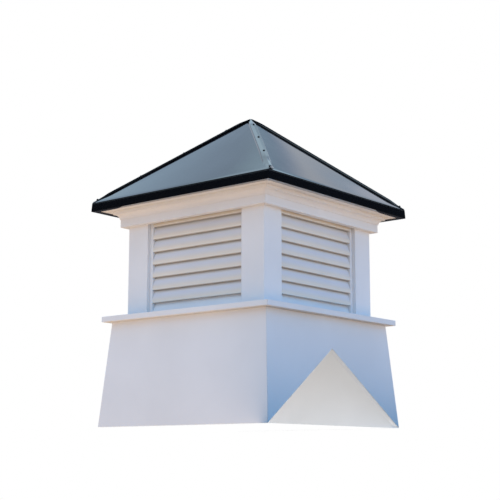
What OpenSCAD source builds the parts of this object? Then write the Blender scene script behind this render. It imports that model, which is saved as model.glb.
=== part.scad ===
// Roof cupola: a flared base cut to sit over a ridge, a louvred box and a low hipped metal roof.
// Millimetres, +Z up. The origin is at the middle of the base, on the level that it rests on.
// The ridge that it straddles runs along X, so the left and right base boards have the V cut.

/* [Base] */
// Width across the bottom of the flared base
base_w = 519; // [460:1:540]
// Width across the top of the flared base
base_top_w = 477.8; // [455:1:500]
// Height of the flared base
base_h = 252.4; // [210:1:300]
// Thickness of the base boards
board_t = 12.7; // [9:0.1:19]
// Pitch of the barn roof under the cupola, in degrees
barn_pitch = 34.3; // [18:0.1:38]

/* [Shelf] */
// Width across the shelf
shelf_w = 514.6; // [495:1:530]
// Thickness of the shelf
shelf_t = 13; // [10:0.5:20]

/* [Louvred box] */
// Width across the corner boards
box_w = 425.6; // [400:1:440]
// Height from the shelf to the soffit
box_h = 262; // [260:1:320]
// Width of each face of a corner board
post_face = 64.4; // [50:1:80]
// Thickness of the corner boards
post_t = 25.4; // [23:0.1:28]

/* [Louvres] */
// Blades in each opening
blade_count = 7; // [4:1:7]
// Height from one blade to the next
blade_pitch = 31.1; // [28:0.1:31.4]
// Height of the lowest blade's lip above the shelf
blade_start = 29; // [24:0.5:30]
// How far the lips stand back from the corner boards
lip_depth = 9; // [4:0.5:11]
// Height of a blade's upright lip
lip_h = 8; // [6:0.5:12]
// Thickness of a blade, measured level
blade_t = 5.6; // [3:0.1:6]
// Width of the stiles beside the blades, level with their lips
stile_w = 9.5; // [5:0.5:14]

/* [Eaves] */
// Height of the frieze boards
frieze_h = 40.2; // [36:0.1:50]
// Thickness of the frieze boards
frieze_t = 15.5; // [12:0.1:20]
// Radius of the cove under the soffit
cove_r = 12; // [8:0.5:14]
// Thickness of the soffit boards
soffit_t = 6; // [4:0.5:9]

/* [Roof] */
// Width of the roof over its drip edges
roof_w = 558.8; // [545:1:600]
// Rise of the roof from the drip edge to the peak
roof_rise = 228.3; // [180:1:260]
// Height of the drip edge
drip_h = 23.2; // [18:0.1:30]
// How far the drip edge leans out at its foot
drip_splay = 1.1; // [0:0.1:2]
// Thickness of the sheet metal
sheet_t = 2; // [1.5:0.1:3]
// Height of the hem along the drip edge's foot
hem_h = 3; // [2:0.5:4]
// Width of a hip cap, measured level across the hip
cap_w = 24; // [18:0.5:36]
// How far a hip cap's fold stands off the hip
cap_lift = 4.8; // [3:0.1:6]

/* [Hidden] */
$fn = 48;

// thickness of the back frame that holds the blades
frame_t = 12;

// half widths, out from the middle
base_r = base_w / 2;
base_top_r = base_top_w / 2;
shelf_r = shelf_w / 2;
box_r = box_w / 2;
box_inner_r = box_r - post_t;
shaft_r = box_inner_r - frame_t;
frieze_r = box_r + frieze_t;
roof_r = roof_w / 2;
eave_r = roof_r - drip_splay;

// heights above the level that the base rests on
shelf_z = base_h + shelf_t;
soffit_z = shelf_z + box_h;
frieze_z = soffit_z - frieze_h;
hem_z = soffit_z - hem_h;
eave_z = hem_z + drip_h;
peak_z = eave_z + roof_rise;

// the opening between two corner boards
opening_r = box_r - post_face;

// slopes
flare = atan((base_r - base_top_r) / base_h);
roof_pitch = atan(roof_rise / eave_r);
hip_pitch = atan(roof_rise / (eave_r * sqrt(2)));
hip_length = norm([eave_r, eave_r, roof_rise]);
// how far each slope falls away from a line level across the hip
fold = acos(sin(hip_pitch) * sin(roof_pitch) / sqrt(2) + cos(hip_pitch) * cos(roof_pitch));
// the roof sheet measured plumb, and the height of its underside at the eave
panel_drop = sheet_t / cos(roof_pitch);
panel_foot_z = eave_z - panel_drop;

// a cove needs a blunt edge at its foot and a square edge at its head
cove_foot = 1.5;
cove_head = 8.5;

// louvre blade: how much of it stands under the blade above, and where it meets the back frame
blade_lap = 10;
blade_h = blade_pitch + blade_lap;
blade_seat = 4;
blade_slope = (post_t - lip_depth - blade_t) / (blade_h - blade_seat - lip_h);
nose_r = blade_t / 2;
lip_r = box_r - lip_depth;
blade_r = opening_r - stile_w;

// back frame: how far it stands in behind the stiles, its width, and its sill
frame_seat = 6.5;
frame_stile = 28;
sill_h = 34;
sill_lip = 2;

// hip cap: thickness of its edges, and the flattened end that all four share at the peak
cap_edge = 1;
cap_tip = 1;
cap_tip_fall = 20.5;

// cutting solids run this far past what they cut
past = 1;

white = "white";
metal = [0.05, 0.05, 0.06];

// The wedge of plan that belongs to the side towards +Y, bounded by its two mitres
module side_wedge(bottom, top) {
    translate([0, 0, bottom])
        linear_extrude(top - bottom)
            polygon([[0, 0], [roof_w, roof_w], [-roof_w, roof_w]]);
}

// Runs a section along the side towards +Y. The section is drawn as [distance out, height].
module run(length) {
    rotate([90, 0, 90])
        linear_extrude(length, center = true)
            children();
}

// A board of the given section with both ends mitred
module mitred(bottom, top) {
    intersection() {
        run(2 * roof_w) children();
        side_wedge(bottom - past, top + past);
    }
}

// The inverted V that clears the barn roof, drawn on the side towards +Y
module ridge_cut() {
    rotate([90, 0, 0])
        linear_extrude(2 * roof_w, center = true)
            polygon([[-base_r, 0], [0, base_r * tan(barn_pitch)], [base_r, 0],
                     [base_r, -past], [-base_r, -past]]);
}

module skirt_board() {
    level_t = board_t / cos(flare);
    mitred(0, base_h)
        polygon([[base_r, 0], [base_top_r, base_h], [base_top_r - level_t, base_h], [base_r - level_t, 0]]);
}

module skirt(turn) {
    color(white)
        rotate([0, 0, turn])
            if (turn == 90 || turn == 270)
                difference() {
                    skirt_board();
                    ridge_cut();
                }
            else
                skirt_board();
}

module shelf(turn) {
    color(white)
        rotate([0, 0, turn])
            mitred(base_h, shelf_z)
                translate([shaft_r, base_h])
                    square([shelf_r - shaft_r, shelf_t]);
}

// A corner board: two faces at right angles, standing on the shelf
module post(side_x, side_y) {
    color(white)
        translate([side_x * box_r, side_y * box_r, shelf_z])
            mirror([side_x > 0 ? 1 : 0, 0, 0])
                mirror([0, side_y > 0 ? 1 : 0, 0])
                    linear_extrude(box_h)
                        union() {
                            square([post_face, post_t]);
                            square([post_t, post_face]);
                        }
}

// The section of one blade, drawn as [distance out, height above its lip]
module blade_section() {
    union() {
        translate([lip_r - nose_r, nose_r]) circle(r = nose_r);
        polygon([[lip_r, nose_r], [lip_r, lip_h], [lip_r - blade_slope * (blade_h - lip_h), blade_h],
                 [box_inner_r, blade_h], [box_inner_r, blade_h - blade_seat],
                 [lip_r - blade_t, lip_h], [lip_r - blade_t, 0], [lip_r - nose_r, 0]]);
    }
}

module louvre_blades(turn) {
    color(white)
        rotate([0, 0, turn])
            for (i = [0 : blade_count - 1])
                translate([0, 0, shelf_z + blade_start + i * blade_pitch])
                    run(2 * blade_r) blade_section();
}

// A picture frame behind the blades, with a stile at each end of them and a sloping sill below
module louvre_frame(turn) {
    window_r = blade_r - frame_seat;
    color(white)
        rotate([0, 0, turn])
            union() {
                translate([-window_r - frame_stile, shaft_r, shelf_z])
                    difference() {
                        cube([2 * (window_r + frame_stile), frame_t, box_h]);
                        translate([frame_stile, -past, frame_stile])
                            cube([2 * window_r, frame_t + 2 * past, box_h - 2 * frame_stile]);
                    }
                for (end = [-opening_r, blade_r])
                    translate([end, shaft_r, shelf_z])
                        cube([stile_w, lip_r - shaft_r, box_h]);
                run(2 * opening_r)
                    translate([0, shelf_z])
                        polygon([[box_inner_r, 0], [lip_r, 0], [lip_r, sill_lip],
                                 [lip_r - blade_slope * (sill_h - sill_lip), sill_h], [box_inner_r, sill_h]]);
            }
}

module frieze(turn) {
    color(white)
        rotate([0, 0, turn])
            mitred(frieze_z, soffit_z)
                translate([box_r, frieze_z])
                    square([frieze_t, frieze_h]);
}

module crown(turn) {
    color(white)
        rotate([0, 0, turn])
            mitred(frieze_z, soffit_z)
                translate([frieze_r, soffit_z - cove_head - cove_r])
                    difference() {
                        square([cove_foot + cove_r, cove_head + cove_r]);
                        translate([cove_foot + cove_r, 0]) circle(r = cove_r);
                    }
}

// How far out the drip edge's outer face stands at a height
function drip_face(z) = roof_r - drip_splay * (z - hem_z) / (panel_foot_z - hem_z);

// A soffit board lies on the drip edge's hem, its edge planed to lie against the leaning sheet
module soffit(turn) {
    top = soffit_z + soffit_t;
    color(white)
        rotate([0, 0, turn])
            mitred(soffit_z, top)
                polygon([[shaft_r, soffit_z], [drip_face(soffit_z) - sheet_t, soffit_z],
                         [drip_face(top) - sheet_t, top], [shaft_r, top]]);
}

// Folded metal edge: it leans out a little, its foot is hemmed back on itself and carries the
// soffit, and its top is bevelled to carry the roof panel
module drip_edge(turn) {
    bevel_z = panel_foot_z + sheet_t * tan(roof_pitch);
    color(metal)
        rotate([0, 0, turn])
            mitred(hem_z, eave_z)
                polygon([[roof_r, hem_z], [eave_r, panel_foot_z], [eave_r - sheet_t, bevel_z],
                         [drip_face(soffit_z) - sheet_t, soffit_z], [roof_r - 2 * sheet_t, soffit_z],
                         [roof_r - 2 * sheet_t, hem_z]]);
}

module roof_panel(turn) {
    color(metal)
        rotate([0, 0, turn])
            mitred(panel_foot_z, peak_z)
                polygon([[eave_r, eave_z], [0, peak_z], [0, peak_z - panel_drop], [eave_r, panel_foot_z]]);
}

// The section of a hip cap, square to the hip. +Y stands off the hip.
module cap_section() {
    reach = cap_w / 2;
    foot = -reach * tan(fold);
    polygon([[-reach, foot], [-reach, foot + cap_edge], [0, cap_lift], [reach, foot + cap_edge],
             [reach, foot], [0, 0]]);
}

// A strip bent over one hip, snipped flat towards the peak and cut off plumb at the eave
module hip_cap(side_x, side_y) {
    overrun = 20;
    color(metal)
        mirror([side_x < 0 ? 1 : 0, 0, 0])
            mirror([0, side_y > 0 ? 1 : 0, 0])
                intersection() {
                    translate([0, 0, peak_z])
                        rotate([0, 0, 45])
                            rotate([90 + hip_pitch, 0, 0])
                                translate([0, 0, -overrun])
                                    linear_extrude(hip_length + 2 * overrun)
                                        cap_section();
                    translate([0, -eave_r, 0]) cube([eave_r, eave_r, peak_z + overrun]);
                    translate([0, 0, peak_z + cap_tip])
                        rotate([0, 0, 45])
                            rotate([cap_tip_fall, 0, 0])
                                translate([-roof_w, -2 * roof_w, -roof_w])
                                    cube([2 * roof_w, 3 * roof_w, roof_w]);
                }
}

skirt(180);  // skirt_front
skirt(0);  // skirt_back
skirt(90);  // skirt_left
skirt(270);  // skirt_right
shelf(180);  // shelf_front
shelf(0);  // shelf_back
shelf(90);  // shelf_left
shelf(270);  // shelf_right
post(-1, -1);  // post_front_left
post(1, -1);  // post_front_right
post(-1, 1);  // post_back_left
post(1, 1);  // post_back_right
louvre_frame(180);  // louvre_frame_front
louvre_frame(0);  // louvre_frame_back
louvre_frame(90);  // louvre_frame_left
louvre_frame(270);  // louvre_frame_right
louvre_blades(180);  // louvre_blades_front
louvre_blades(0);  // louvre_blades_back
louvre_blades(90);  // louvre_blades_left
louvre_blades(270);  // louvre_blades_right
frieze(180);  // frieze_front
frieze(0);  // frieze_back
frieze(90);  // frieze_left
frieze(270);  // frieze_right
crown(180);  // crown_front
crown(0);  // crown_back
crown(90);  // crown_left
crown(270);  // crown_right
soffit(180);  // soffit_front
soffit(0);  // soffit_back
soffit(90);  // soffit_left
soffit(270);  // soffit_right
drip_edge(180);  // drip_edge_front
drip_edge(0);  // drip_edge_back
drip_edge(90);  // drip_edge_left
drip_edge(270);  // drip_edge_right
roof_panel(180);  // roof_panel_front
roof_panel(0);  // roof_panel_back
roof_panel(90);  // roof_panel_left
roof_panel(270);  // roof_panel_right
hip_cap(-1, -1);  // hip_cap_front_left
hip_cap(1, -1);  // hip_cap_front_right
hip_cap(-1, 1);  // hip_cap_back_left
hip_cap(1, 1);  // hip_cap_back_right
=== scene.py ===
"""The looks of a square roof cupola: white boards, rounded louvre blades and folded black metal.

Every size is in metres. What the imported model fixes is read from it; what it doesn't hold, such as
the gauge of the sheet metal, is a property below.
"""

import math

import bmesh
import bpy
from bpy.props import FloatProperty, FloatVectorProperty, IntProperty, PointerProperty
from bpy.types import Operator, Panel, PropertyGroup
from mathutils import Matrix, Vector, noise


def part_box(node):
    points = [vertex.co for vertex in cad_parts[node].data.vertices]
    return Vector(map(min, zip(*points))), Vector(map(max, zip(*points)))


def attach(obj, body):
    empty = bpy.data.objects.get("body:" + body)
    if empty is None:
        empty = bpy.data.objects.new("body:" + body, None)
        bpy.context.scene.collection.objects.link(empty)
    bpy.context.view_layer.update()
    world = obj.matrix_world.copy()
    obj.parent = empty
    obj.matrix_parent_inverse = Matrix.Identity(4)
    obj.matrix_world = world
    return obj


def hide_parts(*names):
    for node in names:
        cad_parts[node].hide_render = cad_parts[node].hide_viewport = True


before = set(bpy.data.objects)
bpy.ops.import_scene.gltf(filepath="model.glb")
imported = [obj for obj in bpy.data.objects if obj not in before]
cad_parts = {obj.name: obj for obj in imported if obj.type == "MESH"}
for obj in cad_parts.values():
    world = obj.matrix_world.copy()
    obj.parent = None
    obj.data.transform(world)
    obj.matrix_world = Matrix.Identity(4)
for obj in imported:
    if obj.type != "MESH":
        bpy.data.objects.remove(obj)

bl_info = {
    "name": "Roof Cupola Finish",
    "version": (1, 0, 0),
    "blender": (4, 5, 0),
    "location": "View3D > Sidebar > Cupola",
    "description": "Eased boards, louvre blades and folded sheet metal for a square roof cupola",
    "category": "Object",
}

# Sections are drawn for the side towards +Y and turned to their own side, in degrees
SIDES = {"back": 0, "left": 90, "front": 180, "right": 270}
# The signs of x and y at each corner
CORNERS = {
    "front_left": (-1, -1), "front_right": (1, -1), "back_left": (-1, 1), "back_right": (1, 1),
}
# Packed points that differ by less than this are level with each other
SAME_PLACE = 1e-5
# The bevels ease the edges that are sharper than this
SHARP_FROM = math.radians(28)

# How far each hip cap turns about the peak, in degrees off the line of its hip
CAP_TURN = {"front_left": 0.42, "front_right": 0.42, "back_left": 0.2, "back_right": 0.0}

# The slow waves of a roof sheet: share of the height, scale along and up, and shifts of the pattern
BUCKLE_WAVES = ((0.6, 5.5, 6.5, 0, 0), (0.8, 2.3, 3.1, 7, 4))

# Painted light and shade up a louvre blade, from the foot of its lip, 0, to the foot of the lip
# above, 1: painted shade under the lip, a painted warm glow on the lip, a painted bluish sky tone up
# the slope, and painted shade again where the slope runs under the lip above
BLADE_PAINTED_LIGHT = (
    (0.0, (0.60, 0.57, 0.53)), (0.02, (0.66, 0.62, 0.56)), (0.06, (1.0, 0.98, 0.90)),
    (0.11, (1.0, 0.95, 0.83)), (0.2, (1.0, 0.91, 0.78)), (0.3, (0.95, 0.89, 0.80)),
    (0.4, (0.92, 0.89, 0.85)), (0.5, (0.90, 0.89, 0.90)), (0.65, (0.88, 0.88, 0.93)),
    (0.8, (0.91, 0.90, 0.90)), (0.92, (0.79, 0.77, 0.73)), (1.0, (0.60, 0.57, 0.54)),
)

# What the metal mirrors, by the sine of its height over the horizon
MIRRORED_SKY = (
    (0.375, (0.010, 0.012, 0.018)), (0.41, (0.30, 0.38, 0.47)), (0.43, (0.46, 0.57, 0.70)),
    (0.483, (0.51, 0.54, 0.63)), (0.493, (0.33, 0.42, 0.53)), (0.505, (0.41, 0.46, 0.54)),
    (0.517, (0.51, 0.54, 0.59)), (0.527, (0.27, 0.34, 0.46)), (0.535, (0.19, 0.28, 0.38)),
    (0.56, (0.56, 0.76, 0.93)), (0.60, (0.66, 0.87, 1.00)), (0.63, (0.47, 0.64, 0.82)),
    (0.678, (0.35, 0.46, 0.60)), (0.69, (0.42, 0.58, 0.70)), (0.70, (0.54, 0.73, 0.89)),
    (0.71, (0.62, 0.82, 0.97)), (0.77, (0.62, 0.82, 0.97)), (0.795, (0.08, 0.10, 0.13)),
    (1.0, (0.03, 0.04, 0.05)),
)

# Sines of the heights between which the lower sky turns into the upper one
SKY_RISE = (0.15, 0.75)
# Where the right sky is, and between which cosines from there the left one turns into it
SKY_RIGHT = (0.7071, 0.7071, 0.0)
SKY_TURN = (-0.7, 0.7)
# Distances from the middle between which the floor turns into the backdrop
FLOOR_FADE = (0.7, 2.2)
# Where the shaded ground starts to soften, as a share of its half width
SHADE_SOFT = 0.84
# In mm, as the lens is
FILM_WIDTH = 36.0


def corners_of(node):
    """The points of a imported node."""
    return [v.co.copy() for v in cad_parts[node].data.vertices]


def out_at(node, height, pick=max):
    """How far out a back node's outline stands at one of its own heights."""
    return pick(p.y for p in corners_of(node) if abs(p.z - height) < SAME_PLACE)


def up_at(node, out):
    """How high a back node's outline stands at one of its own distances out."""
    return max(p.z for p in corners_of(node) if abs(p.y - out) < SAME_PLACE)


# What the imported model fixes
SOFFIT_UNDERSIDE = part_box("soffit_back")[0].z
ROOF_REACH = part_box("drip_edge_back")[1].y
EAVE_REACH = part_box("roof_panel_back")[1].y
PANEL_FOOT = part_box("roof_panel_back")[0].z
EAVE_HEIGHT = up_at("roof_panel_back", EAVE_REACH)
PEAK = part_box("roof_panel_back")[1].z
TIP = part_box("hip_cap_front_right")[1].z
BLADE_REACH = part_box("louvre_blades_back")[1].x
BLADE_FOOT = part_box("louvre_blades_back")[0].z
HIP_RUN = EAVE_REACH * math.sqrt(2)
HIP_PITCH = math.atan2(PEAK - EAVE_HEIGHT, HIP_RUN)
ROOF_PITCH = math.atan2(PEAK - EAVE_HEIGHT, EAVE_REACH)
HIP_FOLD = math.acos(
    math.sin(HIP_PITCH) * math.sin(ROOF_PITCH) / math.sqrt(2)
    + math.cos(HIP_PITCH) * math.cos(ROOF_PITCH)
)


# Properties

def length_prop(name, description, default, **limits):
    """A length."""
    return FloatProperty(
        name=name, description=description, default=default, unit="LENGTH", **limits
    )


def angle_prop(name, description, degrees):
    """An angle, whose default is given in degrees."""
    return FloatProperty(
        name=name, description=description, default=math.radians(degrees), unit="ROTATION"
    )


def pair_prop(name, description, default, unit="LENGTH", **limits):
    """Two values of one kind."""
    return FloatVectorProperty(
        name=name, description=description, default=default, size=2, unit=unit, **limits
    )


def place_prop(name, description, default):
    """A place in the scene."""
    return FloatVectorProperty(
        name=name, description=description, default=default, size=3, subtype="TRANSLATION"
    )


def colour_prop(name, description, default):
    """A colour, or the radiance of one part of the studio."""
    return FloatVectorProperty(
        name=name, description=description, default=default, size=3, subtype="COLOR"
    )


class CupolaSizes(PropertyGroup):
    """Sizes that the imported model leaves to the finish."""

    edge: length_prop("Eased edge", "Radius of the boards' long edges", 0.0009, min=0.0002)
    joint: length_prop("Mitre joint", "How far a board stands back from its mitre", 0.00005)
    lip: length_prop("Blade lip", "Height of a blade's upright lip", 0.008)
    blade: length_prop("Blade thickness", "Thickness of a blade", 0.0056)
    seat: length_prop("Blade seat", "Height of a blade's upper edge on its frame", 0.004)
    nose: length_prop("Blade nose", "Radius under a blade's lip", 0.0028)
    blade_count: IntProperty(name="Blades", description="Blades in each opening", default=7, min=2)
    blade_pitch: length_prop("Blade pitch", "Height from one blade to the next", 0.0311)
    gauge: length_prop("Sheet gauge", "Thickness of the roof metal", 0.0009, min=0.0004)
    fold: length_prop("Fold radius", "Outside radius of a fold in the metal", 0.0012)
    hem: length_prop("Hem width", "Width of the hem along the drip edge", 0.014)
    hem_drop: length_prop("Hem drop", "How far the hem hangs below the soffit", 0.0019)
    flange: length_prop("Flange", "How far the drip edge runs in under the roof sheet", 0.014)
    eave_sag: length_prop("Eave sag", "How far a roof sheet droops at its eave", 0.00035)
    eave_run: length_prop("Eave run", "How far up from the eave the sheet droops", 0.009)
    buckle: length_prop("Buckle", "Height of the slow waves in a roof sheet", 0.0004)
    buckle_edge: length_prop("Buckle edge", "How far from a sheet's edges its waves are full", 0.07)
    cap_width: length_prop("Hip cap width", "Width of a hip cap, level across the hip", 0.0207)
    cap_top: length_prop("Hip cap top", "Width of a cap between its turned-down sides", 0.0148)
    cap_lift: length_prop("Hip cap lift", "How far a cap's fold stands off the hip", 0.0028)
    cap_lean: length_prop("Hip cap lean", "From the middle of a cap to its fold and rivets", 0.001)
    cap_bend: angle_prop("Hip cap bend", "Mean fall of a cap's top on both sides of its fold", 2.5)
    cap_tilt: angle_prop("Hip cap tilt", "How much more a top falls on its wider side", 1.5)
    cap_side: pair_prop(
        "Hip cap sides", "Slopes of a cap's sides, over the left or right sheet and over the other",
        (math.radians(62), math.radians(50)), unit="ROTATION",
    )
    cap_close: pair_prop(
        "Hip cap close", "Share by which the pointed and the blunt caps close on the sheets",
        (1.0, 0.6), unit="NONE", min=0, max=1,
    )
    cap_close_run: pair_prop(
        "Hip cap close run", "How far from the eave the pointed and the blunt caps start to close",
        (0.12, 0.045),
    )
    cap_gap: length_prop("Hip cap gap", "Gap between a closed cap and the sheets", 0.0001)
    tip_drop: length_prop("Tip drop", "How far the caps' tips lie below the highest point", 0.001)
    tip_fall: angle_prop("Tip fall", "Slope of the caps' flattened tips", 23.5)
    tip_side: pair_prop(
        "Tip side fall", "Slopes across the flattened tips of the pointed and the blunt caps",
        (math.radians(43), math.radians(12)), unit="ROTATION",
    )
    tip_crest: length_prop("Tip crest", "Radius of the crest along a flattened tip", 0.0009)
    tip_blend: length_prop("Tip blend", "Height over which a tip runs into its strip", 0.0012)
    long_point: angle_prop("Long point", "Half angle of the point on the pointed caps", 24)
    rivet: length_prop("Rivet head", "Width of a rivet's head", 0.0056)
    rivet_count: IntProperty(name="Rivets", description="Rivets along each cap", default=4, min=1)
    rivet_first: length_prop("First rivet", "From the peak to the first rivet, down the hip", 0.072)
    rivet_pitch: length_prop("Rivet pitch", "From one rivet to the next", 0.1227)


class CupolaColours(PropertyGroup):
    """Colours of the finishes, the floor and the backdrop."""

    board: colour_prop("Board", "White cellular PVC", (0.80, 0.80, 0.79))
    board_shade: colour_prop("Board shade", "The same white, but duller", (0.755, 0.755, 0.745))
    metal: colour_prop("Metal", "Black roof enamel", (0.0035, 0.0040, 0.0050))
    metal_film: colour_prop("Metal film", "Enamel under a film of dust", (0.014, 0.015, 0.018))
    floor: colour_prop("Floor", "Pale floor, tinted against the sky's blue", (0.93, 0.60, 0.35))
    floor_fill: colour_prop("Floor fill", "White that the shadow keeps", (0.55, 0.55, 0.55))
    backdrop: colour_prop("Backdrop", "White backdrop", (1.0, 1.0, 1.0))


class CupolaStudio(PropertyGroup):
    """The camera, the lamp, the sky and the glow of the floor."""

    camera_place: place_prop(
        "Camera place", "Where the camera stands", (1.81099, -2.21875, -0.07935)
    )
    camera_turn: FloatVectorProperty(
        name="Camera turn", description="How the camera is turned", subtype="EULER", size=3,
        default=(math.radians(100.2316), math.radians(-0.042), math.radians(39.2376)),
    )
    lens: FloatProperty(
        name="Lens", description="Focal length on film 36 mm wide", default=84.188, min=20,
        unit="CAMERA",
    )
    low_left: colour_prop("Low sky, left", "Low sky, front and left", (0.33, 0.54, 0.84))
    low_right: colour_prop("Low sky, right", "Low sky, right and back", (0.64, 1.05, 1.56))
    high_left: colour_prop("High sky, left", "Upper sky, front and left", (0.64, 0.88, 1.26))
    high_right: colour_prop("High sky, right", "Upper sky, right and back", (0.06, 0.39, 1.04))
    ground: colour_prop("Ground", "Glow of the sunlit ground", (1.12, 0.83, 0.62))
    shade: colour_prop("Shade", "Glow of the shaded ground", (0.01, 0.01, 0.015))
    mirrored_ground: colour_prop("Mirrored ground", "Ground in the metal", (0.05, 0.05, 0.06))
    inside: colour_prop("Inside", "Glow of the ground under the cupola", (1.25, 1.25, 1.28))
    shade_place: pair_prop("Shade place", "Middle of the shaded ground", (0.40, -0.20))
    shade_reach: pair_prop("Shade reach", "Half width of the shaded ground", (0.17, 0.65))
    floor_reach: length_prop("Floor reach", "Radius of the floor", 6.0)
    lamp: FloatProperty(
        name="Lamp", description="Power of the wide lamp on the left", default=7, unit="POWER"
    )
    lamp_tint: colour_prop("Lamp tint", "Colour of the lamp", (0.96, 1.0, 0.90))
    lamp_width: length_prop("Lamp width", "Width of the lamp", 2.6)
    lamp_place: place_prop("Lamp place", "Where the lamp hangs", (-1.2, -3.2, 2.2))
    lamp_aim: place_prop("Lamp aim", "Where the lamp looks", (0.0, 0.0, 0.4))


# Mesh helpers

def skin(rings, closed=True):
    """A mesh over rings of points. Closed rings make a capped solid, open ones a sheet."""
    bm = bmesh.new()
    layer = bm.loops.layers.uv.new("UVMap")
    rows = [[bm.verts.new(p) for p in ring] for ring in rings]
    girth = [0.0]
    for a, b in zip(rings[0], rings[0][1:] + rings[0][:1]):
        girth.append(girth[-1] + (Vector(b) - Vector(a)).length)
    count = len(rings[0])
    for first, second in zip(rows, rows[1:]):
        for j in range(count if closed else count - 1):
            k = (j + 1) % count
            face = bm.faces.new((first[j], first[k], second[k], second[j]))
            for loop, across in zip(face.loops, (girth[j], girth[j + 1], girth[j + 1], girth[j])):
                loop[layer].uv = (loop.vert.co.x, across)
    if closed:
        for row in (rows[0], rows[-1]):
            face = bm.faces.new(row)
            for loop in face.loops:
                loop[layer].uv = (loop.vert.co.z, loop.vert.co.y)
    bmesh.ops.recalc_face_normals(bm, faces=bm.faces)
    return bm


def open_sheet(rings):
    """A sheet over rings of points that faces up."""
    bm = skin(rings, closed=False)
    if sum(face.normal.z for face in bm.faces) < 0:
        bmesh.ops.reverse_faces(bm, faces=bm.faces)
    return bm


def to_piece(bm, name, material, nodes=(), turn=0):
    """Turns a mesh to its side and makes it a piece that rides on the cupola."""
    bmesh.ops.transform(bm, matrix=Matrix.Rotation(math.radians(turn), 4, "Z"), verts=bm.verts)
    for face in bm.faces:
        face.smooth = True
    mesh = bpy.data.meshes.new(name)
    bm.to_mesh(mesh)
    bm.free()
    mesh.materials.append(material)
    piece = bpy.data.objects.new(name, mesh)
    bpy.context.scene.collection.objects.link(piece)
    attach(piece, "root")
    if nodes:
        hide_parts(*nodes)
    return piece


def ease(piece, radius, steps=3):
    """Rounds the sharp edges and keeps the flats flat."""
    bevel = piece.modifiers.new("Eased edges", "BEVEL")
    bevel.width = radius
    bevel.segments = steps
    bevel.limit_method = "ANGLE"
    bevel.angle_limit = SHARP_FROM
    bevel.harden_normals = True


def thicken(piece, gauge):
    """Gives a sheet its gauge, on the side away from its normals."""
    solid = piece.modifiers.new("Gauge", "SOLIDIFY")
    solid.thickness = gauge
    solid.offset = -1
    solid.use_even_offset = True
    normals = piece.modifiers.new("Normals", "WEIGHTED_NORMAL")
    normals.keep_sharp = True


def board_piece(bm, node, radius, turn=0, steps=3, material=None):
    """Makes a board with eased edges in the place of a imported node."""
    name = f"{node}_finished"
    piece = to_piece(bm, name, material or white_board(), [node], turn)
    ease(piece, radius, steps)


def metal_piece(bm, node, turn=0):
    """Makes a piece of the roof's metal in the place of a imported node."""
    return to_piece(bm, f"{node}_finished", roof_metal(), [node], turn)


def straight(section, reach):
    """A board of a section drawn as (out, height), with square ends."""
    return skin([[Vector((end * reach, out, up)) for out, up in section] for end in (-1, 1)])


def mitred(section, joint):
    """A board of a section drawn as (out, height), with both ends on its mitres."""
    return skin([
        [Vector((end * (out - joint), out, up)) for out, up in section] for end in (-1, 1)
    ])


def upright(outline, low, high):
    """A board that stands on end, its outline drawn in plan."""
    bm = skin([[Vector((x, y, z)) for x, y in outline] for z in (low, high)])
    layer = bm.loops.layers.uv.active
    for face in bm.faces:
        for loop in face.loops:
            loop[layer].uv = (loop.vert.co.z, loop.vert.co.x + loop.vert.co.y)
    return bm


def rectangle(left, right, low, high):
    """The corners of a rectangle, in order."""
    return [(left, low), (right, low), (right, high), (left, high)]


def joined(parts):
    """One mesh out of several."""
    whole = bmesh.new()
    for part in parts:
        mesh = bpy.data.meshes.new("part")
        part.to_mesh(mesh)
        part.free()
        whole.from_mesh(mesh)
        bpy.data.meshes.remove(mesh)
    return whole


def quarter_turn(steps):
    """Even angles from zero to a right angle."""
    return [math.pi / 2 * i / steps for i in range(steps + 1)]


def rounded(path, radius, steps=5):
    """An open path with its inner corners rounded."""
    # A cut takes less than half of a side, so that two cuts never meet
    most = 0.49
    points = [Vector(path[0])]
    for before, corner, after in zip(path, path[1:], path[2:]):
        before, corner, after = Vector(before), Vector(corner), Vector(after)
        towards, away = before - corner, after - corner
        turn = math.pi - towards.angle(away)
        cut = min(radius * math.tan(turn / 2), most * towards.length, most * away.length)
        start, end = corner + towards.normalized() * cut, corner + away.normalized() * cut
        for i in range(steps + 1):
            t = i / steps
            points.append(start * (1 - t) ** 2 + corner * 2 * t * (1 - t) + end * t ** 2)
    points.append(Vector(path[-1]))
    return points


def with_gauge(path, gauge):
    """The closed section of a bent sheet whose outer face follows an open path.

    The path is walked with the metal on its left.
    """
    inner = []
    for i, point in enumerate(path):
        coming = path[i] - path[i - 1] if i else path[1] - path[0]
        leaving = path[i + 1] - path[i] if i + 1 < len(path) else coming
        leaving, coming = leaving.normalized(), coming.normalized()
        along = (leaving + coming).normalized()
        square = Vector((-along.y, along.x))
        # At a sharp corner the inner point goes in by no more than two gauges
        inner.append(point + square * gauge / max(0.5, along.dot(leaving)))
    return list(path) + inner[::-1]


def smoothstep(low, high, value):
    """A smooth rise from 0 at the low value to 1 at the high one."""
    t = min(1.0, max(0.0, (value - low) / (high - low)))
    return t * t * (3 - 2 * t)


def softer_lower(first, second, blend):
    """The lower of two heights, blended where they are nearly the same."""
    mixed = min(1.0, max(0.0, 0.5 + (first - second) / (2 * blend)))
    return first + (second - first) * mixed - blend * mixed * (1 - mixed)


# Materials

def rgba(colour):
    """A colour with its alpha, for a socket."""
    return (*colour, 1.0)


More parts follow.
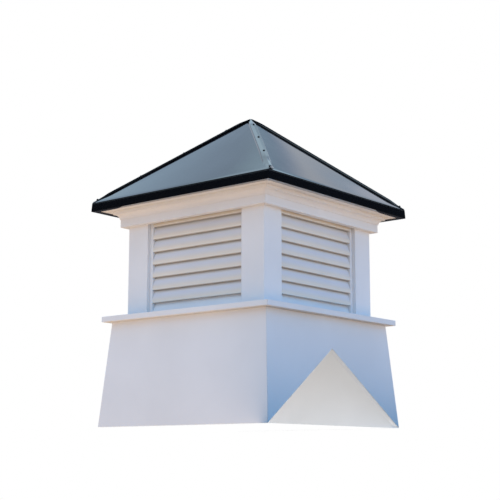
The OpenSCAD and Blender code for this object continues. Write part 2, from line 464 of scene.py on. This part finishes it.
class Nodes:
    """A short way to write a node tree."""

    def __init__(self, tree):
        self.tree = tree
        tree.nodes.clear()

    def add(self, kind, inputs=None, **settings):
        """A node whose inputs are linked to a socket or set to a value."""
        node = self.tree.nodes.new(kind)
        for name, value in settings.items():
            setattr(node, name, value)
        for name, value in (inputs or {}).items():
            if isinstance(value, bpy.types.NodeSocket):
                self.tree.links.new(value, node.inputs[name])
            else:
                node.inputs[name].default_value = value
        return node

    def maths(self, operation, *values, **settings):
        """The result of a Math node."""
        inputs = dict(enumerate(values))
        return self.add("ShaderNodeMath", inputs, operation=operation, **settings).outputs[0]

    def vector_maths(self, operation, *values):
        """The outputs of a Vector Math node."""
        inputs = dict(enumerate(values))
        return self.add("ShaderNodeVectorMath", inputs, operation=operation).outputs

    def remap(self, value, low, high, start=0.0, end=1.0, **settings):
        """A value taken from one range to another."""
        inputs = {
            "Value": value, "From Min": low, "From Max": high, "To Min": start, "To Max": end
        }
        return self.add("ShaderNodeMapRange", inputs, **settings).outputs[0]

    def split(self, vector):
        """The outputs that hold a vector's X, Y and Z."""
        return self.add("ShaderNodeSeparateXYZ", {"Vector": vector}).outputs

    def noise(self, place, scale, detail):
        """Noise about a place."""
        inputs = {"Vector": place, "Scale": scale, "Detail": detail}
        return self.add("ShaderNodeTexNoise", inputs).outputs["Fac"]

    def mix(self, share, first, second, **settings):
        """Two colours mixed."""
        inputs = {"Factor": share, "A": first, "B": second}
        return self.add("ShaderNodeMix", inputs, data_type="RGBA", **settings).outputs[2]

    def mix_shaders(self, share, first, second):
        """Two shaders mixed."""
        return self.add("ShaderNodeMixShader", {0: share, 1: first, 2: second}).outputs[0]

    def glow(self, colour, kind="ShaderNodeEmission"):
        """A shader that gives out a colour as it is written."""
        return self.add(kind, {"Color": colour, "Strength": 1.0}).outputs[0]

    def ramp(self, value, stops):
        """A colour ramp from (position, colour) pairs."""
        node = self.add("ShaderNodeValToRGB", {"Fac": value})
        elements = node.color_ramp.elements
        elements[0].position, elements[1].position = stops[0][0], stops[-1][0]
        for position, _ in stops[1:-1]:
            elements.new(position)
        for element, (_, colour) in zip(elements, stops):
            element.color = rgba(colour)
        return node.outputs[0]


def new_material(name):
    """A material and its empty node tree."""
    material = bpy.data.materials.new(name)
    material.use_nodes = True
    return material, Nodes(material.node_tree)


def board_material(name, light_tones):
    """Satin white cellular PVC: faint extrusion lines along each board and a slow change of tone.

    With light tones, painted light and shade also change the colour up each louvre blade.
    """
    colours, sizes = bpy.context.scene.cupola_colours, bpy.context.scene.cupola_sizes
    material, nodes = new_material(name)
    place = nodes.add("ShaderNodeTexCoord").outputs
    stretched = nodes.add("ShaderNodeMapping", {"Vector": place["UV"], "Scale": (6.0, 700.0, 1.0)})
    lines = nodes.noise(stretched.outputs[0], scale=1.0, detail=3.0)
    slow = nodes.noise(place["Object"], scale=5.0, detail=4.0)
    grain = nodes.noise(place["Object"], scale=1400.0, detail=1.0)
    white = nodes.mix(
        nodes.remap(slow, 0.35, 0.65), rgba(colours.board_shade), rgba(colours.board)
    )
    if light_tones:
        height = nodes.split(place["Object"])["Z"]
        risen = nodes.remap(height, BLADE_FOOT, BLADE_FOOT + sizes.blade_pitch, clamp=False)
        # Painted shade under each lip and where the slope runs under the lip above, and a painted
        # warm glow on the lip, multiplied into the white
        painted_light = nodes.ramp(nodes.maths("FRACT", risen), light_tones)
        white = nodes.mix(1.0, white, painted_light, blend_type="MULTIPLY")
    lined = nodes.add("ShaderNodeBump", {"Height": lines, "Strength": 0.06, "Distance": 0.0004})
    grained = nodes.add(
        "ShaderNodeBump",
        {"Height": grain, "Strength": 0.08, "Distance": 0.0002, "Normal": lined.outputs["Normal"]},
    )
    board = nodes.add(
        "ShaderNodeBsdfPrincipled",
        {
            "Base Color": white, "Roughness": nodes.remap(lines, 0.3, 0.7, 0.40, 0.52),
            "Normal": grained.outputs["Normal"], "IOR": 1.46, "Specular IOR Level": 0.4,
        },
    )
    nodes.add("ShaderNodeOutputMaterial", {"Surface": board.outputs[0]})
    return material


def metal_material(name):
    """Glossy black enamel under a clear coat, with orange peel and a film of dust on the slopes."""
    colours = bpy.context.scene.cupola_colours
    material, nodes = new_material(name)
    place = nodes.add("ShaderNodeTexCoord").outputs
    patches = nodes.noise(place["Object"], scale=9.0, detail=5.0)
    washed = nodes.add("ShaderNodeMapping", {"Vector": place["UV"], "Scale": (90.0, 5.0, 1.0)})
    streaks = nodes.noise(washed.outputs[0], scale=1.0, detail=3.0)
    specks = nodes.noise(place["Object"], scale=420.0, detail=2.0)
    spread = nodes.remap(nodes.maths("MULTIPLY", patches, streaks), 0.16, 0.36)
    facing = nodes.add("ShaderNodeNewGeometry").outputs["Normal"]
    dust = nodes.maths("MULTIPLY", spread, nodes.remap(nodes.split(facing)["Z"], 0.2, 0.7))
    peel = nodes.add("ShaderNodeBump", {"Height": specks, "Strength": 0.05, "Distance": 0.0002})
    enamel = nodes.add(
        "ShaderNodeBsdfPrincipled",
        {
            "Base Color": nodes.mix(dust, rgba(colours.metal), rgba(colours.metal_film)),
            "Roughness": nodes.remap(spread, 0.0, 1.0, 0.05, 0.10), "IOR": 1.5,
            "Normal": peel.outputs["Normal"], "Coat Weight": 1.0, "Coat Roughness": 0.05,
            "Coat IOR": 1.5,
        },
    )
    nodes.add("ShaderNodeOutputMaterial", {"Surface": enamel.outputs[0]})
    return material


def white_board(name="white board", light_tones=()):
    """The boards' material, made when it is first asked for."""
    return bpy.data.materials.get(name) or board_material(name, light_tones)


def roof_metal(name="black roof metal"):
    """The roof's material, made when it is first asked for."""
    return bpy.data.materials.get(name) or metal_material(name)


# Boards

def box_section(node):
    """The rectangle that a back node's section fills."""
    low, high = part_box(node)
    return rectangle(low.y, high.y, low.z, high.z)


def leaning_section(node):
    """The section of a back node whose faces lean between its lowest and its highest level."""
    low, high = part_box(node)
    return [
        (out_at(node, low.z, min), low.z), (out_at(node, low.z), low.z),
        (out_at(node, high.z), high.z), (out_at(node, high.z, min), high.z),
    ]


def cove_section(node):
    """The section of a cove with a blunt edge at its foot and a square one at its head."""
    low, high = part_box(node)
    blunt = out_at(node, low.z) - low.y
    radius = high.y - low.y - blunt
    arc = [
        (high.y - radius * math.cos(turn), low.z + radius * math.sin(turn))
        for turn in quarter_turn(steps=14)
    ]
    return [(low.y, low.z), *arc, (high.y, high.z), (low.y, high.z)]


def ridge_board(sizes):
    """A gable end's base board: mitred, and cut to an inverted V over the barn's ridge."""
    points = corners_of("skirt_right")
    top = max(p.z for p in points)
    apex = max(p.z for p in points if abs(p.y) < SAME_PLACE)
    foot = max(p.x for p in points if p.z < SAME_PLACE)
    over_foot = [p for p in points if SAME_PLACE < p.z < apex - SAME_PLACE]
    inner_foot = min(over_foot, key=lambda p: p.z)
    rings = []
    for pick, low_out, low_up in ((max, foot, 0.0), (min, abs(inner_foot.y), inner_foot.z)):
        head = pick(p.x for p in points if abs(p.z - top) < SAME_PLACE)
        middle = pick(p.x for p in points if abs(p.z - apex) < SAME_PLACE)
        reach_low, reach_head = low_out - sizes.joint, head - sizes.joint
        rings.append([
            Vector((-reach_low, low_out, low_up)), Vector((0, middle, apex)),
            Vector((reach_low, low_out, low_up)), Vector((reach_head, head, top)),
            Vector((-reach_head, head, top)),
        ])
    return skin(rings)


def blade_section(sizes):
    """One louvre blade over its own lowest level.

    It has an upright lip with a rounded nose, then a slope up to its seat.
    """
    low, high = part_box("louvre_blades_back")
    front, back = high.y, low.y
    height = (high.z - low.z) - (sizes.blade_count - 1) * sizes.blade_pitch
    slope = (front - sizes.blade - back) / (height - sizes.seat - sizes.lip)
    nose = [
        (front - sizes.nose + sizes.nose * math.sin(turn), sizes.nose - sizes.nose * math.cos(turn))
        for turn in quarter_turn(steps=8)
    ]
    return [
        (front - sizes.blade, 0.0), *nose, (front, sizes.lip),
        (front - slope * (height - sizes.lip), height), (back, height),
        (back, height - sizes.seat), (front - sizes.blade, sizes.lip),
    ]


class Step:
    """What all the operators share."""

    bl_options = {"REGISTER", "UNDO"}


class BoardStep(Step):
    """What the operators for mitred boards share. Each names its board and draws its section."""

    def build(self, sizes, side):
        """The board of one side, before it is turned there."""
        return mitred(self.section(f"{self.board}_back"), sizes.joint)

    def execute(self, context):
        sizes = context.scene.cupola_sizes
        for side, turn in SIDES.items():
            board_piece(self.build(sizes, side), f"{self.board}_{side}", sizes.edge, turn)
        return {"FINISHED"}


class CUPOLA_OT_skirt(BoardStep, Operator):
    """Builds the flared base boards"""

    bl_idname = "cupola.skirt"
    bl_label = "Base Boards"
    board = "skirt"
    section = staticmethod(leaning_section)

    def build(self, sizes, side):
        if side in ("left", "right"):
            return ridge_board(sizes)
        return super().build(sizes, side)


class CUPOLA_OT_shelf(BoardStep, Operator):
    """Builds the shelf boards over the base"""

    bl_idname = "cupola.shelf"
    bl_label = "Shelf"
    board = "shelf"
    section = staticmethod(box_section)


class CUPOLA_OT_frieze(BoardStep, Operator):
    """Builds the frieze boards under the eaves"""

    bl_idname = "cupola.frieze"
    bl_label = "Frieze"
    board = "frieze"
    section = staticmethod(box_section)


class CUPOLA_OT_crown(BoardStep, Operator):
    """Builds the cove mouldings under the soffit"""

    bl_idname = "cupola.crown"
    bl_label = "Cove Mouldings"
    board = "crown"
    section = staticmethod(cove_section)


class CUPOLA_OT_soffit(BoardStep, Operator):
    """Builds the soffit boards"""

    bl_idname = "cupola.soffit"
    bl_label = "Soffit"
    board = "soffit"
    section = staticmethod(leaning_section)


class CUPOLA_OT_posts(Step, Operator):
    """Builds the four corner boards"""

    bl_idname = "cupola.posts"
    bl_label = "Corner Boards"

    def execute(self, context):
        sizes = context.scene.cupola_sizes
        low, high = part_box("post_back_right")
        inner = min(p.x for p in corners_of("post_back_right") if p.x > low.x + SAME_PLACE)
        thickness = high.x - inner
        outline = [
            (high.x, high.y), (low.x, high.y), (low.x, high.y - thickness),
            (high.x - thickness, high.y - thickness), (high.x - thickness, low.y), (high.x, low.y),
        ]
        for corner, (side_x, side_y) in CORNERS.items():
            board = upright([(side_x * x, side_y * y) for x, y in outline], low.z, high.z)
            board_piece(board, f"post_{corner}", sizes.edge)
        return {"FINISHED"}


class CUPOLA_OT_louvres(Step, Operator):
    """Builds the louvre blades"""

    bl_idname = "cupola.louvres"
    bl_label = "Louvre Blades"

    def execute(self, context):
        sizes = context.scene.cupola_sizes
        section = blade_section(sizes)
        feet = [BLADE_FOOT + i * sizes.blade_pitch for i in range(sizes.blade_count)]
        reach = BLADE_REACH - sizes.joint
        # The blades' white carries painted light and shade up each blade
        finish = white_board("white blade with painted light", BLADE_PAINTED_LIGHT)
        for side, turn in SIDES.items():
            blades = joined(
                straight([(out, foot + up) for out, up in section], reach) for foot in feet
            )
            board_piece(
                blades, f"louvre_blades_{side}", sizes.edge / 3, turn, steps=2, material=finish
            )
        return {"FINISHED"}


class CUPOLA_OT_louvre_frames(Step, Operator):
    """Builds the frames that hold the louvre blades: a back frame, two stiles and a sloping sill"""

    bl_idname = "cupola.louvre_frames"
    bl_label = "Louvre Frames"

    def parts(self, joint):
        """The boards of the back side's frame."""
        points = corners_of("louvre_frame_back")
        low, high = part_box("louvre_frame_back")
        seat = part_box("louvre_blades_back")[0].y
        face = [p for p in points if abs(p.y - high.y) < SAME_PLACE]
        window = [
            p for p in points
            if abs(p.y - low.y) < SAME_PLACE and low.z + SAME_PLACE < p.z < high.z - SAME_PLACE
        ]
        opening = max(p.x for p in face)
        reach = max(p.x for p in window)
        foot, head = min(p.z for p in window), max(p.z for p in window)
        lip = min(p.z for p in face if p.z > low.z + SAME_PLACE)
        between = [p for p in points if seat + SAME_PLACE < p.y < high.y - SAME_PLACE]
        brow = max(between, key=lambda p: p.z)
        for end in (-1, 1):
            back_board = sorted((end * reach, end * high.x))
            yield upright(rectangle(*back_board, low.y, seat), low.z, high.z)
            stile = sorted((end * BLADE_REACH, end * (opening - joint)))
            yield upright(rectangle(*stile, seat, high.y), low.z, high.z)
        for bottom, top in ((low.z, foot), (head, high.z)):
            yield straight(rectangle(low.y, seat, bottom, top), reach - joint)
        sill = [(seat, low.z), (high.y, low.z), (high.y, lip), (brow.y, brow.z), (seat, brow.z)]
        yield straight(sill, BLADE_REACH - joint)

    def execute(self, context):
        sizes = context.scene.cupola_sizes
        for side, turn in SIDES.items():
            whole = joined(self.parts(sizes.joint))
            board_piece(whole, f"louvre_frame_{side}", sizes.edge / 2, turn)
        return {"FINISHED"}


# Roof metal

class CUPOLA_OT_drip_edges(Step, Operator):
    """Folds the drip edges: a flange under the roof sheet, a leaning face and a hem"""

    bl_idname = "cupola.drip_edges"
    bl_label = "Drip Edges"

    def execute(self, context):
        sizes = context.scene.cupola_sizes
        flange_rise = sizes.flange * math.tan(ROOF_PITCH)
        foot, hem_end = SOFFIT_UNDERSIDE - sizes.hem_drop, ROOF_REACH - sizes.hem
        path = [
            (EAVE_REACH - sizes.flange, PANEL_FOOT + flange_rise), (EAVE_REACH, PANEL_FOOT),
            (ROOF_REACH, foot), (hem_end, foot), (hem_end, SOFFIT_UNDERSIDE),
        ]
        bent = rounded(path, sizes.fold)
        section = [(point.x, point.y) for point in with_gauge(bent[::-1], sizes.gauge)]
        for side, turn in SIDES.items():
            piece = metal_piece(mitred(section, sizes.joint / 2), f"drip_edge_{side}", turn)
            ease(piece, sizes.gauge / 4, steps=1)
        return {"FINISHED"}


def buckle(along, up, seed):
    """How far a roof sheet waves, as a share of the whole, at a place on its slope."""
    return sum(
        share * noise.noise(Vector((along * scale_along + shift, up * scale_up, seed + layer)))
        for share, scale_along, scale_up, shift, layer in BUCKLE_WAVES
    )


class CUPOLA_OT_roof_panels(Step, Operator):
    """Builds the roof sheets, folded down at the eave and waving slightly between their edges"""

    bl_idname = "cupola.roof_panels"
    bl_label = "Roof Sheets"

    columns = 72
    rows = 44
    eave_rows = 6
    peak_gap = 0.004
    seed_step = 11.0

    def outline(self, sizes):
        """The back sheet's middle as (out, height), from its folded edge to the peak."""
        climb = (PEAK - EAVE_HEIGHT) / EAVE_REACH
        inset = [sizes.eave_run * i / self.eave_rows for i in range(self.eave_rows + 1)]
        run = EAVE_REACH - self.peak_gap - sizes.eave_run
        inset += [sizes.eave_run + run * i / self.rows for i in range(1, self.rows + 1)]
        path = [(EAVE_REACH, PANEL_FOOT + sizes.gauge / 4)]
        for back in inset:
            sag = sizes.eave_sag * max(0.0, 1 - back / sizes.eave_run) ** 2
            path.append((EAVE_REACH - back, PEAK - climb * (EAVE_REACH - back) - sag))
        return rounded(path[:3], sizes.fold)[:-1] + [Vector(p) for p in path[2:]]

    def execute(self, context):
        sizes = context.scene.cupola_sizes
        outline = self.outline(sizes)
        normal = Vector((0, math.sin(ROOF_PITCH), math.cos(ROOF_PITCH)))
        for number, (side, turn) in enumerate(SIDES.items()):
            rings = []
            for i in range(self.columns + 1):
                share = 2 * i / self.columns - 1
                ring = []
                for out, height in outline:
                    along = share * out
                    edge = min(out - abs(along), EAVE_REACH - out)
                    inside = smoothstep(sizes.cap_width / 2, sizes.buckle_edge, edge)
                    wave = buckle(along, height, number * self.seed_step) * inside
                    ring.append(Vector((along, out, height)) + normal * wave * sizes.buckle)
                rings.append(ring)
            thicken(metal_piece(open_sheet(rings), f"roof_panel_{side}", turn), sizes.gauge)
        return {"FINISHED"}


def cap_middle(corner, down):
    """How far to the side of the hip a cap's middle stands."""
    return down * math.tan(math.radians(CAP_TURN[corner]))


def cap_close(sizes, down, blunt):
    """Share by which a hip cap has closed on the sheets, this far down the hip."""
    return sizes.cap_close[blunt] * smoothstep(HIP_RUN - sizes.cap_close_run[blunt], HIP_RUN, down)


def cap_ridge(sizes, down, blunt):
    """How far a hip cap's fold stands off the hip."""
    seated = sizes.gauge + sizes.cap_gap
    return sizes.cap_lift + (seated - sizes.cap_lift) * cap_close(sizes, down, blunt)


def cap_section(sizes, down, half, blunt):
    """A hip cap's face as (across, off the hip): a top folded over the hip, and two sides."""
    top = half * sizes.cap_top / sizes.cap_width
    lean = sizes.cap_lean * 2 * half / sizes.cap_width
    close = cap_close(sizes, down, blunt)
    seated = sizes.gauge + sizes.cap_gap
    ridge = cap_ridge(sizes, down, blunt)
    path = [(lean, ridge)]
    for side in (-1, 1):
        fall = math.tan(sizes.cap_bend - side * sizes.cap_tilt) * abs(side * top - lean)
        seat = seated - top * math.tan(HIP_FOLD)
        edge = ridge - fall + (seat - ridge + fall) * close
        slope = sizes.cap_side[(side > 0) == blunt]
        rim = max(edge - (half - top) * math.tan(slope), seated - half * math.tan(HIP_FOLD))
        wall = [(side * top, edge), (side * half, rim)]
        path = wall[::-1] + path if side < 0 else path + wall
    return rounded(path, sizes.fold, steps=4)


def cap_height(sizes, down, across, off, blunt):
    """Height of a hip cap's face at a place down the hip in plan and across it, and off the hip."""
    fold = PEAK - down * math.tan(HIP_PITCH) + off / math.cos(HIP_PITCH)
    aside = math.hypot(across, sizes.tip_crest) - sizes.tip_crest
    top = TIP - sizes.tip_drop
    flat = top - down * math.tan(sizes.tip_fall) - aside * math.tan(sizes.tip_side[blunt])
    return softer_lower(fold, flat, sizes.tip_blend)


class CUPOLA_OT_hip_caps(Step, Operator):
    """Bends a strip over each hip, flattened at the peak and closed on the sheets at the eave"""

    bl_idname = "cupola.hip_caps"
    bl_label = "Hip Caps"

    stations = 240
    first_station = 0.0006
    # Above 1, so that the stations crowd towards the peak
    crowding = 1.4
    # Share of the hip from which a cap's end starts to follow the corner of the eave
    mitre_from = 0.9

    def ring(self, sizes, corner, share):
        """The points across a cap, at a share of its length."""
        side_x, side_y = CORNERS[corner]
        # 1 for the pointed caps and -1 for the blunt ones, whose sections are drawn mirrored
        way = -side_x * side_y
        middle = self.first_station + (HIP_RUN - self.first_station) * share
        half = min(sizes.cap_width / 2, middle * math.tan(sizes.long_point) ** way)
        points = []
        for aside, off in cap_section(sizes, middle, half, way < 0):
            across = way * aside + cap_middle(corner, middle)
            down = middle - abs(across) * smoothstep(self.mitre_from, 1.0, share)
            x, y = (down + across) / math.sqrt(2), (down - across) / math.sqrt(2)
            height = cap_height(sizes, down, across, off, way < 0)
            points.append(Vector((side_x * x, side_y * y, height)))
        return points

    def execute(self, context):
        sizes = context.scene.cupola_sizes
        shares = [(i / self.stations) ** self.crowding for i in range(self.stations + 1)]
        for corner in CORNERS:
            strip = open_sheet([self.ring(sizes, corner, share) for share in shares])
            thicken(metal_piece(strip, f"hip_cap_{corner}"), sizes.gauge)
        return {"FINISHED"}


class CUPOLA_OT_rivets(Step, Operator):
    """Sets blind rivets along the folds of the hip caps"""

    bl_idname = "cupola.rivets"
    bl_label = "Rivets"

    around = 20
    # From the cap's face down to the head's foot, and up to the start of its dome
    sunk = 0.0004
    rim = 0.00015
    # Height of the dome and radius of the pin's hole, as shares of the head's width
    tall = 0.32
    hole = 0.15
    # The hole's floor: its edge as a share of the hole's radius, its middle in metres, and the
    # heights of both as shares of the dome's
    floor_edge = 0.9
    floor_middle = 0.0001
    floor_height = (0.4, 0.3)

    def head(self, sizes):
        """Half the outline of a rivet's head and its pin's hole, as (radius, height)."""
        wide, tall, hole = sizes.rivet / 2, sizes.rivet * self.tall, sizes.rivet * self.hole
        dome = [
            (hole + (wide - hole) * math.cos(turn), self.rim + tall * math.sin(turn))
            for turn in quarter_turn(steps=6)
        ]
        edge, middle = (tall * share for share in self.floor_height)
        floor = [(hole * self.floor_edge, edge), (self.floor_middle, middle)]
        return [(wide, -self.sunk), *dome, *floor]

    def execute(self, context):
        sizes = context.scene.cupola_sizes
        profile = self.head(sizes)
        for corner, (side_x, side_y) in CORNERS.items():
            way = -side_x * side_y
            bm = bmesh.new()
            out = Vector((side_x, side_y, 0)).normalized()
            axis = out * math.sin(HIP_PITCH) + Vector((0, 0, math.cos(HIP_PITCH)))
            across = axis.cross(out).normalized()
            aside = Vector((side_x, -side_y, 0)).normalized()
            along = across.cross(axis)
            for number in range(sizes.rivet_count):
                down = (sizes.rivet_first + number * sizes.rivet_pitch) * math.cos(HIP_PITCH)
                lean = cap_middle(corner, down) + sizes.cap_lean * way
                off = cap_ridge(sizes, down, way < 0)
                height = cap_height(sizes, down, lean, off, way < 0)
                seat = out * down + aside * lean + Vector((0, 0, height))
                rings = []
                for i in range(self.around):
                    turn = math.tau * i / self.around
                    spoke = across * math.cos(turn) + along * math.sin(turn)
                    rings.append([bm.verts.new(seat + spoke * r + axis * h) for r, h in profile])
                for first, second in zip(rings, rings[1:] + rings[:1]):
                    for j in range(len(profile) - 1):
                        bm.faces.new((first[j], first[j + 1], second[j + 1], second[j]))
                bm.faces.new([ring[0] for ring in rings])
                bm.faces.new([ring[-1] for ring in rings])
            bmesh.ops.recalc_face_normals(bm, faces=bm.faces)
            to_piece(bm, f"rivets_{corner}", roof_metal())
        return {"FINISHED"}


# Studio

def floor_material(colours, studio):
    """Floor. It glows as sunlit ground for every ray but the camera's, with shade on the right.

    From above it fades into the white backdrop; from below only what the base covers shows.
    """
    material, nodes = new_material("pale floor")
    place = nodes.add("ShaderNodeTexCoord").outputs["Object"]
    far = nodes.vector_maths("LENGTH", place)["Value"]
    fade = nodes.remap(far, *FLOOR_FADE, interpolation_type="SMOOTHSTEP")
    apart = nodes.split(place)
    width, depth = nodes.maths("ABSOLUTE", apart["X"]), nodes.maths("ABSOLUTE", apart["Y"])
    square = nodes.maths("MAXIMUM", width, depth)
    beyond = nodes.maths("GREATER_THAN", square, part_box("skirt_front")[1].x)
    (shade_x, shade_y), (reach_x, reach_y) = studio.shade_place, studio.shade_reach
    shifted = nodes.add(
        "ShaderNodeMapping", {"Vector": place, "Location": (-shade_x, -shade_y, 0)},
        vector_type="POINT",
    )
    stretch = (1 / reach_x, 1 / reach_y, 1)
    stretched = nodes.vector_maths("MULTIPLY", shifted.outputs[0], stretch)[0]
    off = nodes.split(nodes.vector_maths("ABSOLUTE", stretched)[0])
    edge = nodes.maths("MAXIMUM", off["X"], off["Y"])
    shade = nodes.remap(edge, 1.0, SHADE_SOFT, interpolation_type="SMOOTHSTEP")
    ground = nodes.mix(shade, rgba(studio.ground), rgba(studio.shade))
    lit = nodes.glow(nodes.mix(beyond, rgba(studio.inside), ground))
    mirrored = nodes.glow(rgba(studio.mirrored_ground))
    pale = nodes.add("ShaderNodeBsdfDiffuse", {"Color": rgba(colours.floor)}).outputs[0]
    fill = nodes.glow(rgba(colours.floor_fill))
    plain = nodes.add("ShaderNodeAddShader", {0: pale, 1: fill}).outputs[0]
    white = nodes.glow(rgba(colours.backdrop))
    clear = nodes.add("ShaderNodeBsdfTransparent").outputs[0]
    rays = nodes.add("ShaderNodeLightPath").outputs
    underside = nodes.add("ShaderNodeNewGeometry").outputs["Backfacing"]
    unseen = nodes.mix_shaders(rays["Is Glossy Ray"], lit, mirrored)
    above = nodes.mix_shaders(fade, plain, white)
    below = nodes.mix_shaders(beyond, white, clear)
    seen = nodes.mix_shaders(underside, above, below)
    shown = nodes.mix_shaders(rays["Is Camera Ray"], unseen, seen)
    nodes.add("ShaderNodeOutputMaterial", {"Surface": shown})
    return material


def make_world(colours, studio):
    """Soft light from a sky in four parts, a sky only for the metal, and a white backdrop."""
    world = bpy.data.worlds.new("studio")
    world.use_nodes = True
    bpy.context.scene.world = world
    nodes = Nodes(world.node_tree)
    place = nodes.add("ShaderNodeTexCoord").outputs["Generated"]
    height = nodes.split(place)["Z"]
    rise = nodes.remap(height, *SKY_RISE, interpolation_type="SMOOTHSTEP")
    facing = nodes.vector_maths("DOT_PRODUCT", place, SKY_RIGHT)["Value"]
    turn = nodes.remap(facing, *SKY_TURN, interpolation_type="SMOOTHSTEP")
    low = nodes.mix(turn, rgba(studio.low_left), rgba(studio.low_right))
    high = nodes.mix(turn, rgba(studio.high_left), rgba(studio.high_right))
    light = nodes.glow(nodes.mix(rise, low, high), "ShaderNodeBackground")
    mirrored = nodes.glow(nodes.ramp(height, MIRRORED_SKY), "ShaderNodeBackground")
    white = nodes.glow(rgba(colours.backdrop), "ShaderNodeBackground")
    rays = nodes.add("ShaderNodeLightPath").outputs
    mirror = nodes.maths("ADD", rays["Is Glossy Ray"], rays["Is Transmission Ray"], use_clamp=True)
    unseen = nodes.mix_shaders(mirror, light, mirrored)
    shown = nodes.mix_shaders(rays["Is Camera Ray"], unseen, white)
    nodes.add("ShaderNodeOutputWorld", {"Surface": shown})


def add_lamp(studio):
    """A wide soft lamp that looks at the cupola and doesn't show in the metal."""
    light = bpy.data.lights.new("left lamp", "AREA")
    light.shape = "DISK"
    light.size = studio.lamp_width
    light.energy = studio.lamp
    light.color = studio.lamp_tint
    lamp = bpy.data.objects.new("left lamp", light)
    lamp.location = studio.lamp_place
    aim = Vector(studio.lamp_aim) - Vector(studio.lamp_place)
    lamp.rotation_euler = aim.to_track_quat("-Z", "Y").to_euler()
    lamp.visible_glossy = False
    bpy.context.scene.collection.objects.link(lamp)


class CUPOLA_OT_stage(Step, Operator):
    """Sets the floor, the soft light and the camera"""

    bl_idname = "cupola.stage"
    bl_label = "Stage"

    def execute(self, context):
        scene = context.scene
        studio, colours = scene.cupola_studio, scene.cupola_colours
        bm = bmesh.new()
        bmesh.ops.create_circle(bm, cap_ends=True, segments=96, radius=studio.floor_reach)
        mesh = bpy.data.meshes.new("floor")
        bm.to_mesh(mesh)
        bm.free()
        mesh.materials.append(floor_material(colours, studio))
        floor = bpy.data.objects.new("floor", mesh)
        scene.collection.objects.link(floor)
        make_world(colours, studio)
        add_lamp(studio)
        lens = bpy.data.cameras.new("camera")
        lens.lens = studio.lens
        lens.sensor_width = FILM_WIDTH
        camera = bpy.data.objects.new("camera", lens)
        camera.location = studio.camera_place
        camera.rotation_euler = studio.camera_turn
        scene.collection.objects.link(camera)
        scene.camera = camera
        scene.view_settings.view_transform = "Standard"
        return {"FINISHED"}


# In the order in which they run
OPERATORS = (
    CUPOLA_OT_stage, CUPOLA_OT_skirt, CUPOLA_OT_shelf, CUPOLA_OT_posts, CUPOLA_OT_louvre_frames,
    CUPOLA_OT_louvres, CUPOLA_OT_frieze, CUPOLA_OT_crown, CUPOLA_OT_soffit, CUPOLA_OT_drip_edges,
    CUPOLA_OT_roof_panels, CUPOLA_OT_hip_caps, CUPOLA_OT_rivets,
)


class CUPOLA_PT_finish(Panel):
    """Lists the steps of the finish in the sidebar"""

    bl_label = "Cupola"
    bl_space_type = "VIEW_3D"
    bl_region_type = "UI"
    bl_category = "Cupola"

    def draw(self, context):
        scene = context.scene
        for operator in OPERATORS:
            self.layout.operator(operator.bl_idname)
        for group in (scene.cupola_sizes, scene.cupola_colours, scene.cupola_studio):
            box = self.layout.box()
            for name in group.__annotations__:
                box.prop(group, name)


CLASSES = (CupolaSizes, CupolaColours, CupolaStudio, *OPERATORS, CUPOLA_PT_finish)


def register():
    for cls in CLASSES:
        bpy.utils.register_class(cls)
    bpy.types.Scene.cupola_sizes = PointerProperty(type=CupolaSizes)
    bpy.types.Scene.cupola_colours = PointerProperty(type=CupolaColours)
    bpy.types.Scene.cupola_studio = PointerProperty(type=CupolaStudio)


def unregister():
    del bpy.types.Scene.cupola_studio
    del bpy.types.Scene.cupola_colours
    del bpy.types.Scene.cupola_sizes
    for cls in reversed(CLASSES):
        bpy.utils.unregister_class(cls)


def main():
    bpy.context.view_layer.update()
    register()
    for operator in OPERATORS:
        group, name = operator.bl_idname.split(".")
        getattr(getattr(bpy.ops, group), name)()
    bpy.context.view_layer.update()


if __name__ == "__main__":
    main()
